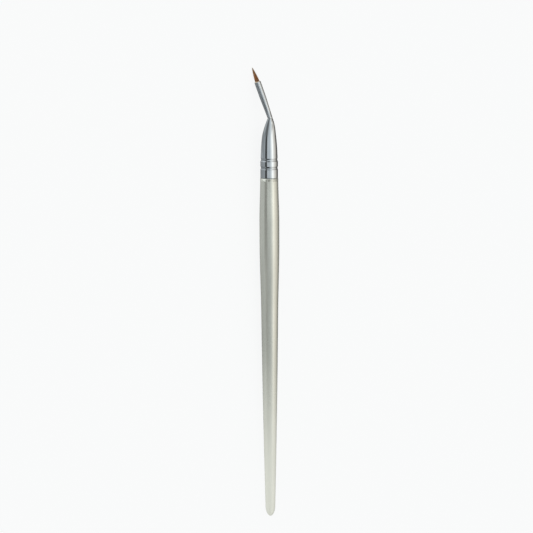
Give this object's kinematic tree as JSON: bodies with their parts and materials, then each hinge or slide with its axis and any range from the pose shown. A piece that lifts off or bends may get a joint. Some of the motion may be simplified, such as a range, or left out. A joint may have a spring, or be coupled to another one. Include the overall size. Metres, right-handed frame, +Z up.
{
  "type": "eyeliner brush",
  "caption": "Bent eyeliner brush: slim tapered handle, plated ferrule narrowing to a pinched elbow and an angled tube, with a fine pointed hair tip.",
  "frame": {"origin": "middle of the bounding box's bottom face, on the surface that the brush lies on", "axes": "+Y from the tail end to the head, along the brush; +Z up from the surface; the bent head leans to -X and down"},
  "size_m": [0.0078, 0.1718, 0.0077],
  "materials": {
    "pearl_lacquer": "satin pearl lacquer on turned wood",
    "plated_metal": "polished plate",
    "setting_resin": "gloss",
    "brown_hair": "satin brown filaments"
  },
  "bodies": {
    "root": {"handle": "pearl_lacquer", "ferrule": "plated_metal", "resin_plug": "setting_resin", "hair_tuft": "brown_hair"}
  },
  "joints": []
}
